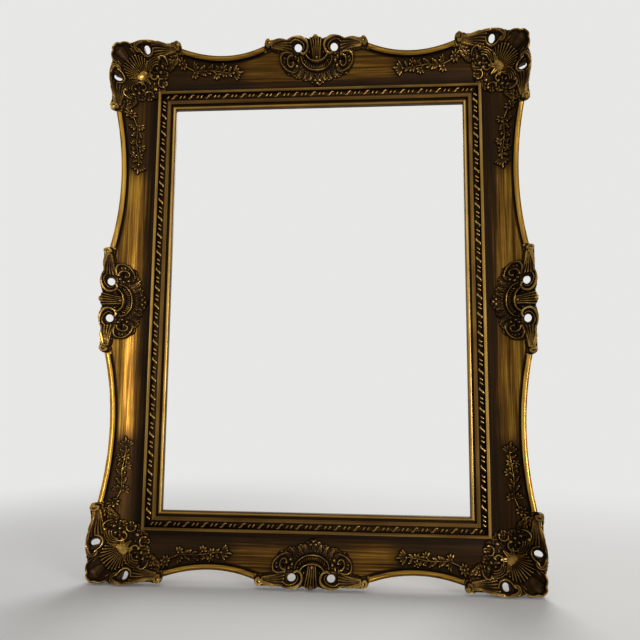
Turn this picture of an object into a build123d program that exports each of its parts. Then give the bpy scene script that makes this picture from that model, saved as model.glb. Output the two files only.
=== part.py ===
"""Swept gilt picture frame: coved wooden rails, a sight moulding with rope ornament,
pierced corner and centre castings, flower sprays, hanging rings and turn buttons."""

import os
from math import cos, radians, sin, sqrt, tan

from build123d import *

os.makedirs("parts", exist_ok=True)

# Opening that is seen from the front, in millimetres like everything below
sight_width = 440.0
sight_height = 607.0

# Section of the wooden rails. A reach is measured outwards from the sight edge,
# a height from the wall towards the viewer.
rebate_width = 7.0
rebate_depth = 12.0
shoulder_height = 2.5
cove_start = 30.0
cove_radius = 46.0
cove_angle = 48.0
flange_thickness = 9.0

# Swept outer edge of the rails and the bead that runs along it
rail_reach = 88.0
sweep_end_reach = 83.0
sweep_reach = 74.0
sweep_step = 6.0
centre_half_length = 76.0
corner_arm = 13.0
lip_inset = 0.8
lip_width = 6.4
lip_rise = 3.4
lip_round = 2.2

# Sight moulding
moulding_width = 26.0
sight_edge_height = 17.0
sight_bead_width = 6.0
sight_bead_rise = 3.0
quirk_width = 1.5
flat_height = 22.5
rope_floor_height = 22.0
rope_channel_width = 9.0
outer_fillet_height = 28.0
outer_fillet_width = 4.0

# Rope ornament: one long ribbon and two short beads in every repeat
rope_base_thickness = 1.2
rope_pitch = 27.0
ribbon_length = 14.0
ribbon_width = 4.8
ribbon_slant = 24.0
bead_length = 7.4
bead_width = 3.6
bead_slant = 48.0
bead_rise = 3.0
bead_taper = 28.0

# Castings
piercing_diameter = 10.0
piercing_length = 12.4
piercing_height = 9.0
piercing_spread = 27.0
piercing_reach = 79.0
corner_piercing_near = 38.5
corner_piercing_far = 82.0
casting_overhang = 3.0
casting_lap = 2.8
plate_rise = 3.2
leaf_rise = 5.0
scroll_rise = 6.2
collar_width = 4.5
volute_radius = 4.2
volute_width = 2.2
tip_inset = 3.5
scroll_reach = 47.0
shell_radius = 30.0
shell_reach = 53.0
shell_rib_count = 11
shell_rib_step = 14.5
shell_rib_fill = 0.72
shell_boss_radius = 9.0
bowl_lip_reach = 63.0
bowl_lip_half = 17.0
bowl_rim_reach = 54.0
bowl_rim_half = 22.0
bowl_depth = 8.0
bowl_rim_width = 2.6

# Sprays: a wavy stem with leaves, and a cluster of flowers towards its far end
spray_rise = 3.2
spray_length = 84.0
spray_reach = 54.0
spray_lift = 8.0
spray_wave = 1.2
stem_width = 2.6
spray_leaf_width = 4.4
spray_leaf_aside = 6.0
flower_rise = 4.6
flower_radius = 5.6
flower_aside = 5.0
petal_count = 5
petal_share = 0.42

# Hanging hardware on the backs of the two side rails
hanger_height = 150.0
hanger_reach = 28.0
strap_width = 14.0
strap_length = 36.0
strap_thickness = 1.0
strap_neck = 5.0
strap_corner = 3.0
loop_width = 8.0
ring_wire = 2.6
ring_inner_width = 17.0
ring_inner_height = 13.0
ring_corner = 2.6
screw_diameter = 3.0
screw_length = 13.0
button_screw_length = 9.0
screw_head_diameter = 6.0
screw_head_height = 1.8
screw_slot = 0.8
strap_screw_spacing = 11.0
strap_screw_drop = 5.0

# Turn buttons that hold a picture in the rebate
button_spacing = 200.0
button_reach = 15.0
button_arm = 14.0
button_eye_radius = 5.0
button_tip_radius = 3.0
button_thickness = 1.2

# Corner fasteners, driven across the mitres from behind
v_nail_reaches = (18.0, 38.0)
v_nail_depth = 9.0
v_nail_recess = 0.3
v_nail_length = 6.0
v_nail_spread = 4.5
v_nail_gauge = 1.2

# Clearances
glue_gap = 0.2
notch_gap = 0.8
nail_gap = 0.1
screw_gap = 0.1
running_gap = 0.25

# Derived heights, reaches and angles
shoulder_reach = moulding_width + glue_gap
foot_height = rebate_depth + shoulder_height
slope = radians(cove_angle)
section_reach = rail_reach + 5 * casting_overhang
cove_end_reach = cove_start + cove_radius * sin(slope)
cove_end_height = foot_height + cove_radius * (1 - cos(slope))
rim_height = cove_end_height + (rail_reach - cove_end_reach) * tan(slope)
top_height = rim_height + 2 * scroll_rise
back_reach = cove_end_reach - (cove_end_height - flange_thickness / cos(slope)) / tan(slope)
casting_reach = rail_reach + casting_overhang
rope_outer = moulding_width - outer_fillet_width - glue_gap
rope_inner = rope_outer - rope_channel_width + 2 * glue_gap
ring_height = strap_thickness + ring_wire / 2 + running_gap
ring_half = (ring_inner_width + ring_wire) / 2

# The frame hangs by the wall: the origin is the middle of the top rail's flat back
centre_z = -(sight_height / 2 + (rebate_width + back_reach) / 2)

# Planes whose x runs along a rail, y outwards and z towards the viewer
side_frames = {
    "top": Plane((0, 0, centre_z + sight_height / 2), x_dir=(1, 0, 0), z_dir=(0, -1, 0)),
    "right": Plane((sight_width / 2, 0, centre_z), x_dir=(0, 0, -1), z_dir=(0, -1, 0)),
    "bottom": Plane((0, 0, centre_z - sight_height / 2), x_dir=(-1, 0, 0), z_dir=(0, -1, 0)),
    "left": Plane((-sight_width / 2, 0, centre_z), x_dir=(0, 0, 1), z_dir=(0, -1, 0)),
}
half_sight = {"top": sight_width / 2, "right": sight_height / 2}
half_sight["bottom"] = half_sight["top"]
half_sight["left"] = half_sight["right"]

# Planes at the sight corners, with x and y both outwards, and the rails that meet there
corner_frames = {
    ("top", "right"): Plane(
        (sight_width / 2, 0, centre_z + sight_height / 2), x_dir=(1, 0, 0), z_dir=(0, -1, 0)
    ),
    ("right", "bottom"): Plane(
        (sight_width / 2, 0, centre_z - sight_height / 2), x_dir=(0, 0, -1), z_dir=(0, -1, 0)
    ),
    ("bottom", "left"): Plane(
        (-sight_width / 2, 0, centre_z - sight_height / 2), x_dir=(-1, 0, 0), z_dir=(0, -1, 0)
    ),
    ("left", "top"): Plane(
        (-sight_width / 2, 0, centre_z + sight_height / 2), x_dir=(0, 0, 1), z_dir=(0, -1, 0)
    ),
}
corner_names = {
    ("top", "right"): "top_right",
    ("right", "bottom"): "bottom_right",
    ("bottom", "left"): "bottom_left",
    ("left", "top"): "top_left",
}
diagonal = Plane((0, 0, 0), x_dir=(1, 1, 0), z_dir=(1, -1, 0))


def save(piece, node, frame=None):
    """Place a finished piece in its frame and write it under its node's name."""
    placed = frame.location * piece if frame else piece
    placed.label = node
    export_step(placed, f"parts/{node}.step")


def hollow_face(rise, plane=Plane.YZ):
    """Section of everything behind the rail's hollow face, lifted by rise along its normal.

    Past the rail's edge the face runs out level, as the rims of the castings do.
    """
    radius = cove_radius - rise
    foot = (cove_start, foot_height + rise)
    crest = (cove_start + radius * sin(slope), foot_height + cove_radius - radius * cos(slope))
    edge = (rail_reach, rim_height + rise / cos(slope))
    with BuildSketch(plane) as face:
        with BuildLine():
            Polyline(edge, (section_reach, edge[1]), (section_reach, 0), (0, 0), (0, foot[1]), foot)
            TangentArc(foot, crest, tangent=(1, 0))
            Line(crest, edge)
        make_face()
    return face.sketch


def hollow_block(rise, span, both_rails=False):
    """Solid behind the hollow face along one rail, or along two rails that meet at a corner."""
    with BuildPart() as block:
        extrude(hollow_face(rise), amount=span, both=True)
        if both_rails:
            extrude(hollow_face(rise, Plane.XZ), amount=span, both=True)
    return block.part


def sweep_arcs(half, inset):
    """The swept edge of half a rail, moved towards the opening by inset."""
    start = centre_half_length
    end = half - corner_arm
    return ThreePointArc(
        (start, sweep_end_reach - inset),
        ((start + end) / 2, sweep_reach - inset),
        (end, sweep_end_reach - inset),
    )


def rail_plan(half):
    """Mitred outline of a rail with its two sweeps."""
    with BuildSketch() as plan:
        with BuildLine():
            swept = sweep_arcs(half, 0)
            Polyline((0, rail_reach), (centre_half_length - sweep_step, rail_reach), swept @ 0)
            Polyline(
                swept @ 1,
                (half - corner_arm + sweep_step, rail_reach),
                (half + rail_reach, rail_reach),
                (half + rebate_width, rebate_width),
                (0, rebate_width),
            )
            mirror(about=Plane.YZ)
        make_face()
    return plan.sketch


def lip(half):
    """Rounded bead that stands on the rail along both sweeps."""
    with BuildPart() as bead:
        with BuildSketch():
            with BuildLine():
                outer = sweep_arcs(half, lip_inset)
                inner = sweep_arcs(half, lip_inset + lip_width)
                Line(outer @ 0, inner @ 0)
                Line(outer @ 1, inner @ 1)
            make_face()
            start = centre_half_length + casting_lap
            with Locations((start, 0)):
                Rectangle(
                    half - corner_arm - casting_lap - start,
                    section_reach,
                    align=(Align.MIN, Align.MIN),
                    mode=Mode.INTERSECT,
                )
            mirror(about=Plane.YZ)
        extrude(amount=top_height)
        add(hollow_block(lip_rise, half), mode=Mode.INTERSECT)
        crowns = bead.faces().filter_by(lambda face: face.normal_at().Z > 0.1)
        fillet(crowns.edges().filter_by(lambda edge: edge.length > 2 * lip_width), radius=lip_round)
    return bead.part


def v_nail_outline(reach, clearance):
    """V section of one corner fastener, on the mitre of a corner at the origin."""
    tip = (0, 0)
    inner_tip = (-v_nail_length * v_nail_gauge / v_nail_spread, 0)
    with BuildSketch(Plane((reach, reach, 0), x_dir=(1, 1, 0))) as outline:
        with BuildLine():
            leg = Polyline(tip, (-v_nail_length, v_nail_spread))
            Polyline(leg @ 1, (-v_nail_length, v_nail_spread - v_nail_gauge), inner_tip)
            mirror(about=Plane.XZ)
        make_face()
        if clearance:
            offset(amount=clearance, kind=Kind.INTERSECTION)
    return outline.sketch


def mitre_slots(half):
    """The room that the corner fasteners take at both ends of a rail."""
    with BuildPart() as slots:
        for reach in v_nail_reaches:
            outline = v_nail_outline(reach, nail_gap)
            extrude(outline.moved(Location((half, 0, 0))), amount=v_nail_depth + nail_gap)
        mirror(about=Plane.YZ)
    return slots.part


def notches(length, height, along, reach):
    """Two notches, open to the rail's edge, that keep clear of the piercings in front of them."""
    with BuildSketch() as pair:
        with Locations((along, reach), (-along, reach)):
            Ellipse(length / 2 + notch_gap, height / 2 + notch_gap)
            Rectangle(length + 2 * notch_gap, section_reach, align=(Align.CENTER, Align.MIN))
    return pair.sketch


def swept_rail(half, pilot_holes):
    """One coved and mitred rail with its slots and pilot holes, cut open behind every piercing."""
    with BuildPart() as rail:
        extrude(rail_plan(half), amount=top_height)
        extrude(hollow_face(0), amount=half + section_reach, both=True, mode=Mode.INTERSECT)
        add(lip(half))
        with BuildSketch(Plane.YZ):
            with Locations((0, rebate_depth)):
                Rectangle(shoulder_reach, top_height, align=(Align.MIN, Align.MIN))
        extrude(amount=half + section_reach, both=True, mode=Mode.SUBTRACT)
        with BuildSketch(Plane.YZ):
            with BuildLine():
                rise = (section_reach - back_reach) * tan(slope)
                Polyline((back_reach, 0), (section_reach, 0), (section_reach, rise), close=True)
            make_face()
        extrude(amount=half + section_reach, both=True, mode=Mode.SUBTRACT)
        with BuildSketch():
            add(notches(piercing_length, piercing_height, piercing_spread, piercing_reach))
            corner_place = (half + corner_piercing_near, corner_piercing_far)
            add(notches(piercing_diameter, piercing_diameter, *corner_place))
        extrude(amount=top_height, mode=Mode.SUBTRACT)
        add(mitre_slots(half), mode=Mode.SUBTRACT)
        for length, places in pilot_holes.items():
            with Locations(*places):
                Cylinder(
                    screw_diameter / 2 + screw_gap,
                    length + screw_gap,
                    align=(Align.CENTER, Align.CENTER, Align.MIN),
                    mode=Mode.SUBTRACT,
                )
    return rail.part


def sight_moulding(half):
    """Mitred moulding round the opening, with a bead, a flat and a channel for the rope."""
    flat_start = sight_bead_width + quirk_width
    bead_top = sight_edge_height + sight_bead_rise
    with BuildPart() as moulding:
        with BuildSketch(Plane.YZ):
            with BuildLine():
                bead = ThreePointArc(
                    (0, sight_edge_height),
                    (sight_bead_width / 2, bead_top),
                    (sight_bead_width, sight_edge_height + quirk_width),
                )
                Polyline(
                    bead @ 1,
                    (flat_start, sight_edge_height + quirk_width),
                    (flat_start, flat_height),
                    (rope_inner - glue_gap, flat_height + quirk_width),
                    (rope_inner - glue_gap, rope_floor_height),
                    (rope_outer + glue_gap, rope_floor_height),
                    (rope_outer + glue_gap, outer_fillet_height),
                    (moulding_width, outer_fillet_height),
                    (moulding_width, rebate_depth),
                    (0, rebate_depth),
                    bead @ 0,
                )
            make_face()
        extrude(amount=half + moulding_width, both=True)
        with BuildSketch():
            Polygon(
                (-half, 0),
                (half, 0),
                (half + moulding_width, moulding_width),
                (-half - moulding_width, moulding_width),
                align=None,
            )
        extrude(amount=outer_fillet_height, mode=Mode.INTERSECT)
    return moulding.part


def rope_strip(half):
    """Mitred strip of slanting ribbons and beads that lies in the sight moulding's channel."""
    middle = (rope_inner + rope_outer) / 2
    repeats = int(2 * (half + rope_inner) // rope_pitch)
    starts = [(index - (repeats - 1) / 2) * rope_pitch for index in range(repeats)]
    bead_offset = (ribbon_length + bead_length * cos(radians(bead_slant))) / 2
    bead_gap = (rope_pitch - 2 * bead_offset) / 2
    with BuildPart() as rope:
        with BuildSketch(Plane.XY.offset(rope_floor_height)):
            Polygon(
                (-half - rope_inner, rope_inner),
                (half + rope_inner, rope_inner),
                (half + rope_outer, rope_outer),
                (-half - rope_outer, rope_outer),
                align=None,
            )
        extrude(amount=rope_base_thickness)
        with BuildSketch(Plane.XY.offset(rope_floor_height + rope_base_thickness)):
            with Locations(*[(x - rope_pitch / 4, middle) for x in starts]):
                lozenge(ribbon_length, ribbon_width, ribbon_slant)
            beads = [x - rope_pitch / 4 + bead_offset for x in starts]
            beads += [x + 2 * bead_gap for x in beads]
            with Locations(*[(x, middle) for x in beads]):
                lozenge(bead_length, bead_width, bead_slant)
        extrude(amount=bead_rise, taper=bead_taper)
    return rope.part


def lozenge(length, width, slant):
    """A slanting bead's outline, drawn in the sketch that calls for it."""
    points = [(length / 2, 0), (length / 5, width / 2), (-length / 4, width / 2)]
    points += [(-x, -y) for x, y in points]
    return Polygon(*points, rotation=slant)


def scalloped(points):
    """Chain of arcs through points given as (x, y, bulge), each bulge outwards from the last point."""
    for before, after in zip(points, points[1:]):
        SagittaArc(before[:2], after[:2], -after[2])


def almond(start, end, width):
    """A leaf with two bowed sides from start to end."""
    with BuildSketch() as leaf:
        with BuildLine():
            SagittaArc(start, end, width / 2)
            SagittaArc(start, end, -width / 2)
        make_face()
    return leaf.sketch


def raised(outline, rise, span, both_rails=False):
    """Solid with a plan outline that stands on the hollow face to a given rise."""
    with BuildPart() as relief:
        extrude(outline, amount=top_height)
        add(hollow_block(rise, span, both_rails), mode=Mode.INTERSECT)
    return relief.part


def rim(lowest, end, width):
    """Half of a curved rim, a band along an arc from its lowest place to one end."""
    with BuildSketch() as band:
        with BuildLine() as path:
            TangentArc(lowest, end, tangent=(1, 0))
        trace(lines=path.edges(), line_width=width)
    return band.sketch


def scroll(centre, radius, width, start, sweep_angle):
    """A C scroll: a band along an arc with a round eye at its end."""
    with BuildSketch() as band:
        with BuildLine() as path:
            arc = CenterArc(centre, radius, start, sweep_angle)
        trace(lines=path.edges(), line_width=width)
        with Locations(arc @ 1):
            Circle(width)
    return band.sketch


# Corner castings
corner_tip = casting_reach - tip_inset
corner_edge = [
    (corner_tip, corner_tip, 0),
    (corner_tip - 10, casting_reach - 1, 2),
    (corner_piercing_near + 24, casting_reach - 2, 2),
    (corner_piercing_near - 17, casting_reach - 2, 3.5),
    (4, casting_reach - 6, 1.5),
    (-corner_arm + 5, rail_reach, 2),
    (-corner_arm - 2, sweep_end_reach - 1, 4),
    (-corner_arm + 5, sweep_reach + 1, 3),
    (0, sweep_reach - 10, 3),
    (scroll_reach - 34, scroll_reach + 11.5, 2),
    (scroll_reach - 28.5, scroll_reach + 1.5, 2.5),
    (scroll_reach - 28.5, scroll_reach - 9, 3),
    (cove_start - 1, cove_start - 1, 3),
]


def corner_plate():
    with BuildSketch() as plate:
        with BuildLine():
            scalloped(corner_edge)
            mirror(about=diagonal)
        make_face()
    return plate.sketch


def corner_leaves():
    """Leaves along both arms and at the outer tip."""
    with BuildSketch() as leaves:
        add(almond((corner_piercing_near - 8, casting_reach - 7), (-corner_arm, sweep_end_reach), 9))
        add(almond((corner_piercing_near - 12, casting_reach - 16), (-corner_arm + 8, sweep_reach + 2), 8))
        add(almond((scroll_reach - 8, scroll_reach + 18), (2, sweep_reach - 9), 9))
        add(almond((scroll_reach - 12, scroll_reach + 4), (scroll_reach - 28, scroll_reach + 4), 8))
        add(almond((corner_tip - 16, corner_tip - 12), (corner_tip - 10, casting_reach - 3), 9))
        mirror(about=diagonal)
        add(almond((corner_tip - 22, corner_tip - 22), (corner_tip - 1, corner_tip - 1), 14))
        add(almond((scroll_reach - 8, scroll_reach - 8), (cove_start, cove_start), 10))
    return leaves.sketch


def corner_scrolls():
    """Collars round the piercings, C scrolls beside the shell and the volutes that end the arms."""
    eye = (corner_piercing_near, corner_piercing_far)
    with BuildSketch() as scrolls:
        with Locations(eye):
            Circle(piercing_diameter / 2 + collar_width)
        add(scroll((scroll_reach - 12, scroll_reach + 7), 7, 2.6, 35, -185))
        add(scroll((scroll_reach - 23, scroll_reach - 4), 6, 2.2, 110, -215))
        add(scroll((scroll_reach - 29, scroll_reach + 20), 7, 2.2, 190, -140))
        volute = (volute_radius - corner_arm, sweep_end_reach - volute_width)
        add(scroll(volute, volute_radius, volute_width, 200, -300))
        mirror(about=diagonal)
    return scrolls.sketch


def shell_fan():
    """Fan of rounded ribs that spreads from the shell's boss to the outer corner."""
    first = 45 - (shell_rib_count - 1) / 2 * shell_rib_step
    half_width = shell_radius * sin(radians(shell_rib_step)) * shell_rib_fill / 2
    spread = shell_rib_count * shell_rib_step
    with BuildSketch() as fan:
        with Locations((shell_reach, shell_reach)):
            with PolarLocations(0, shell_rib_count, start_angle=first, angular_range=spread):
                Polygon((0, 0), (shell_radius, -half_width), (shell_radius, half_width), align=None)
            with PolarLocations(shell_radius, shell_rib_count, start_angle=first, angular_range=spread):
                Circle(half_width)
    return fan.sketch


with BuildPart() as corner_casting:
    add(raised(corner_plate(), plate_rise, casting_reach + corner_arm, True))
    add(raised(corner_leaves(), leaf_rise, casting_reach + corner_arm, True))
    add(raised(corner_scrolls(), scroll_rise, casting_reach + corner_arm, True))
    add(raised(shell_fan(), scroll_rise, casting_reach + corner_arm, True))
    boss_height = foot_height + cove_radius - sqrt(cove_radius**2 - (shell_reach - cove_start) ** 2)
    with Locations((shell_reach, shell_reach, boss_height + shell_boss_radius / 4)):
        Sphere(shell_boss_radius)
    with Locations(
        (corner_piercing_near, corner_piercing_far), (corner_piercing_far, corner_piercing_near)
    ):
        Cylinder(piercing_diameter / 2, 4 * top_height, mode=Mode.SUBTRACT)
    add(hollow_block(glue_gap, casting_reach + corner_arm, True), mode=Mode.SUBTRACT)

for rails, frame in corner_frames.items():
    save(corner_casting.part, f"corner_ornament_{corner_names[rails]}", frame)


# Centre castings
centre_edge = [
    (0, cove_start + 4.5, 0),
    (6.5, cove_start + 7.5, 1.5),
    (13, cove_start + 11.5, 1.2),
    (piercing_spread - 2, piercing_reach - 33.5, 2),
    (piercing_spread + 12, piercing_reach - 29.5, 2.5),
    (piercing_spread + 24, piercing_reach - 22, 3),
    (piercing_spread + 29, piercing_reach - 13, 2),
    (piercing_spread + 27.5, piercing_reach - 4, 1.5),
    (centre_half_length - 8, sweep_end_reach - 7, 1),
    (centre_half_length + 2, sweep_end_reach - 2, 3),
    (centre_half_length - 10, rail_reach - 2, 4),
    (piercing_spread + 16, casting_reach - 5, 1.5),
    (9, casting_reach - 4, 3.5),
    (0, casting_reach - 1, 1.5),
]


def centre_plate():
    with BuildSketch() as plate:
        with BuildLine():
            scalloped(centre_edge)
            mirror(about=Plane.YZ)
        make_face()
    return plate.sketch


def centre_leaves():
    """Side lobes, the leaves that run out along the edge, and the inner tip."""
    with BuildSketch() as leaves:
        add(almond((piercing_spread + 12, casting_reach - 9), (centre_half_length, sweep_end_reach - 2), 9))
        add(almond((piercing_spread + 4, piercing_reach - 12), (piercing_spread + 26, piercing_reach - 8), 12))
        add(almond((piercing_spread - 2, piercing_reach - 16), (piercing_spread + 18, piercing_reach - 26), 13))
        add(almond((piercing_spread - 1, piercing_reach - 22), (piercing_spread - 13, piercing_reach - 34), 8))
        mirror(about=Plane.YZ)
        add(almond((0, bowl_rim_reach), (0, cove_start + 5), 9))
    return leaves.sketch


def centre_scrolls():
    """Collars round the piercings, the two rims of the bowl between them, C scrolls and end volutes."""
    with BuildSketch() as scrolls:
        with Locations((piercing_spread, piercing_reach)):
            Ellipse(piercing_length / 2 + collar_width, piercing_height / 2 + collar_width)
        add(scroll((piercing_spread + 11, piercing_reach - 19), 8.5, 2.8, 100, -250))
        add(rim((0, bowl_lip_reach), (bowl_lip_half, bowl_lip_reach + bowl_depth), bowl_rim_width))
        add(rim((0, bowl_rim_reach), (bowl_rim_half, bowl_rim_reach + bowl_depth), bowl_rim_width))
        volute = (centre_half_length - volute_radius, sweep_end_reach - volute_width)
        add(scroll(volute, volute_radius, volute_width, -20, 300))
        mirror(about=Plane.YZ)
        add(almond((0, piercing_reach - 12), (0, casting_reach - 2), 11))
    return scrolls.sketch


with BuildPart() as centre_casting:
    add(raised(centre_plate(), plate_rise, centre_half_length + casting_reach))
    add(raised(centre_leaves(), leaf_rise, centre_half_length + casting_reach))
    add(raised(centre_scrolls(), scroll_rise, centre_half_length + casting_reach))
    with BuildSketch():
        with Locations((piercing_spread, piercing_reach), (-piercing_spread, piercing_reach)):
            Ellipse(piercing_length / 2, piercing_height / 2)
    extrude(amount=2 * top_height, mode=Mode.SUBTRACT)
    add(hollow_block(glue_gap, centre_half_length + casting_reach), mode=Mode.SUBTRACT)

for side, frame in side_frames.items():
    save(centre_casting.part, f"centre_ornament_{side}", frame)


# Flower sprays that lie in the hollow beside every corner casting
spray_start = -corner_arm - casting_lap
leaf_places = ((0.2, 1), (0.3, -1), (0.38, 1), (0.46, -1), (0.54, 1), (0.66, 1), (0.74, -1), (0.9, 1))
flower_places = ((-0.02, 0.6), (0.17, -1.2), (0.6, -1), (0.8, 0.6), (0.96, -0.4))


def spray_point(share, aside=0.0):
    """A point along the spray's wavy stem, or aside from it."""
    wave = -spray_wave * sin(radians(360 * share))
    return (spray_start - spray_length * share, spray_reach + spray_lift * (1 - share) ** 2 + wave + aside)


def spray_foliage():
    """The stem and its leaves, which leave it by turns on both sides."""
    with BuildSketch() as foliage:
        with BuildLine() as stem:
            ThreePointArc(spray_point(0), spray_point(0.25), spray_point(0.5))
            ThreePointArc(spray_point(0.5), spray_point(0.75), spray_point(1))
        trace(lines=stem.edges(), line_width=stem_width)
        for share, turn in leaf_places:
            end = spray_point(share + 0.08, turn * spray_leaf_aside)
            add(almond(spray_point(share - 0.08), end, spray_leaf_width))
        add(almond(spray_point(0.86), spray_point(1.08), spray_leaf_width))
    return foliage.sketch


def spray_flowers():
    petal = flower_radius * petal_share
    with BuildSketch() as flowers:
        with Locations(*[spray_point(share, turn * flower_aside) for share, turn in flower_places]):
            Circle(flower_radius - petal)
            with PolarLocations(flower_radius - petal, petal_count):
                Circle(petal)
    return flowers.sketch


with BuildPart() as spray:
    add(raised(spray_foliage(), spray_rise, 2 * spray_length))
    add(raised(spray_flowers(), flower_rise, 2 * spray_length))
    add(hollow_block(glue_gap, 2 * spray_length), mode=Mode.SUBTRACT)

other_spray = mirror(spray.part, about=diagonal)
for (rail, next_rail), frame in corner_frames.items():
    save(spray.part, f"{rail}_spray_{next_rail}", frame)
    save(other_spray, f"{next_rail}_spray_{rail}", frame)


# Rails, sight mouldings and rope strips
first_screw = -(ring_inner_height + ring_wire + strap_screw_drop)
strap_screws = [first_screw, first_screw - strap_screw_spacing]
hanger_screw_places = [(hanger_height + y, hanger_reach) for y in strap_screws]
button_places = [(step * button_spacing, button_reach) for step in (-1, 0, 1)]
for side, frame in side_frames.items():
    half = half_sight[side]
    pilot_holes = {}
    if side in ("left", "right"):
        up = 1 if side == "left" else -1
        pilot_holes[screw_length] = [(up * x, y) for x, y in hanger_screw_places]
        pilot_holes[button_screw_length] = button_places
    save(swept_rail(half, pilot_holes), f"rail_{side}", frame)
    save(sight_moulding(half), f"sight_moulding_{side}", frame)
    save(rope_strip(half), f"rope_{side}", frame)

with BuildPart() as v_nails:
    for frame in corner_frames.values():
        for reach in v_nail_reaches:
            outline = frame.offset(v_nail_recess).location * v_nail_outline(reach, 0)
            extrude(outline, amount=v_nail_depth - v_nail_recess, dir=(0, -1, 0))
save(v_nails.part, "corner_v_nails")


# Hardware is drawn as seen from behind: x to the right, y up, z away from the rail's back
def behind(side, height, reach):
    across = sight_width / 2 + reach
    origin = (across if side == "right" else -across, 0, centre_z + height)
    return Plane(origin, x_dir=(-1, 0, 0), z_dir=(0, 1, 0))


with BuildPart() as strap:
    with BuildSketch():
        with Locations((0, -strap_neck)):
            plate = Rectangle(strap_width, strap_length - strap_neck, align=(Align.CENTER, Align.MAX))
        fillet(plate.vertices(), radius=strap_corner)
        Rectangle(loop_width, strap_neck + strap_corner, align=(Align.CENTER, Align.MAX))
    extrude(amount=strap_thickness)
    with BuildSketch(Plane.YZ):
        with Locations((0, ring_height)):
            Circle(ring_height)
            Circle(ring_height - strap_thickness, mode=Mode.SUBTRACT)
    extrude(amount=loop_width / 2, both=True)
    with Locations(*[(0, y) for y in strap_screws]):
        Cylinder(screw_diameter / 2 + screw_gap, 4 * strap_thickness, mode=Mode.SUBTRACT)

ring_drop = ring_inner_height + ring_wire
with BuildPart() as ring:
    with BuildLine(Plane.XY.offset(ring_height)) as ring_path:
        bar = Line((ring_corner - ring_half, 0), (ring_half - ring_corner, 0))
        turn = TangentArc(bar @ 1, (ring_half, -ring_corner), tangent=bar % 1)
        limb = Line(turn @ 1, (ring_half, ring_half - ring_drop))
        bow = ThreePointArc(limb @ 1, (0, -ring_drop), (-ring_half, ring_half - ring_drop))
        other_limb = Line(bow @ 1, (-ring_half, -ring_corner))
        TangentArc(other_limb @ 1, bar @ 0, tangent=other_limb % 1)
    with BuildSketch(Plane(bar @ 0, z_dir=bar % 0)):
        Circle(ring_wire / 2)
    sweep(path=ring_path.wire())

with BuildPart() as button:
    with BuildSketch(Plane.XY.offset(running_gap)):
        Circle(button_eye_radius)
        with Locations((0, button_tip_radius - button_arm)):
            Circle(button_tip_radius)
        make_hull()
        Circle(screw_diameter / 2 + running_gap, mode=Mode.SUBTRACT)
    extrude(amount=button_thickness)


def screw(seat, length):
    """Slotted round head screw whose head rests at a height above the rail's back."""
    with BuildPart() as fastener:
        with BuildSketch(Plane.XZ):
            with BuildLine():
                Polyline(
                    (0, seat + screw_head_height),
                    (0, -length),
                    (screw_diameter / 2, screw_diameter / 2 - length),
                    (screw_diameter / 2, seat),
                    (screw_head_diameter / 2, seat),
                )
                crown = (0, seat + screw_head_height)
                TangentArc(crown, (screw_head_diameter / 2, seat), tangent=(1, 0))
            make_face()
        revolve(axis=Axis.Z)
        with Locations((0, 0, seat + screw_head_height)):
            Box(screw_head_diameter, screw_slot, screw_head_height, mode=Mode.SUBTRACT)
    return fastener.part


hanger_frames = {side: behind(side, hanger_height, hanger_reach) for side in ("left", "right")}
for side, frame in hanger_frames.items():
    save(strap.part, f"hanger_strap_{side}", frame)
    save(ring.part, f"hanger_ring_{side}", frame)

strap_screw = screw(strap_thickness, screw_length)
with BuildPart() as hanger_screws:
    for frame in hanger_frames.values():
        for y in strap_screws:
            add(frame.location * Location((0, y, 0)) * strap_screw)
save(hanger_screws.part, "hanger_screws")

button_frames = {}
for side in ("left", "right"):
    for level, step in {"upper": 1, "middle": 0, "lower": -1}.items():
        button_frames[f"{side}_{level}"] = behind(side, step * button_spacing, button_reach)
button_screw = screw(button_thickness + 2 * running_gap, button_screw_length)
with BuildPart() as button_screws:
    for place, frame in button_frames.items():
        add(frame.location * button_screw)
for place, frame in button_frames.items():
    save(button.part, f"turn_button_{place}", frame)
save(button_screws.part, "turn_button_screws")
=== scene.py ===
import math

import bpy
import numpy as np
from mathutils import Matrix, Vector


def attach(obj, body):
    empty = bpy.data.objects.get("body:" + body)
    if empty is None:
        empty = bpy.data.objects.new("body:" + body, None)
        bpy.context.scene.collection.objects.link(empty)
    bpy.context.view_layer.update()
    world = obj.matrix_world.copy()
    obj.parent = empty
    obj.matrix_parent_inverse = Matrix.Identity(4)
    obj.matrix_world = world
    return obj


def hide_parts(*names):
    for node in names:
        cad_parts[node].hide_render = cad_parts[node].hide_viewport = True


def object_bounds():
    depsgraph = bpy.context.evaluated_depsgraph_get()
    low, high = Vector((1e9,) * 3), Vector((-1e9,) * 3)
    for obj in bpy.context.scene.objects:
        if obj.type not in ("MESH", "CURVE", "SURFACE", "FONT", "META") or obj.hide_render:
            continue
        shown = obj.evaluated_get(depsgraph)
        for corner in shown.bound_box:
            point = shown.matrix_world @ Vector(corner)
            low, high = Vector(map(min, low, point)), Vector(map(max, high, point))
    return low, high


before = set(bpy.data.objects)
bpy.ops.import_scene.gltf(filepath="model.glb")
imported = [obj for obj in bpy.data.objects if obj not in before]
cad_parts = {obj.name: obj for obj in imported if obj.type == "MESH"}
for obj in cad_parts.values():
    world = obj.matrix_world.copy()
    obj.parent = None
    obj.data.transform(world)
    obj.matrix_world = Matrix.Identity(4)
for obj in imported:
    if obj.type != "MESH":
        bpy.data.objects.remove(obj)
cad_box = [list(map(float, corner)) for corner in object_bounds()]

MM = 0.001

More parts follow.
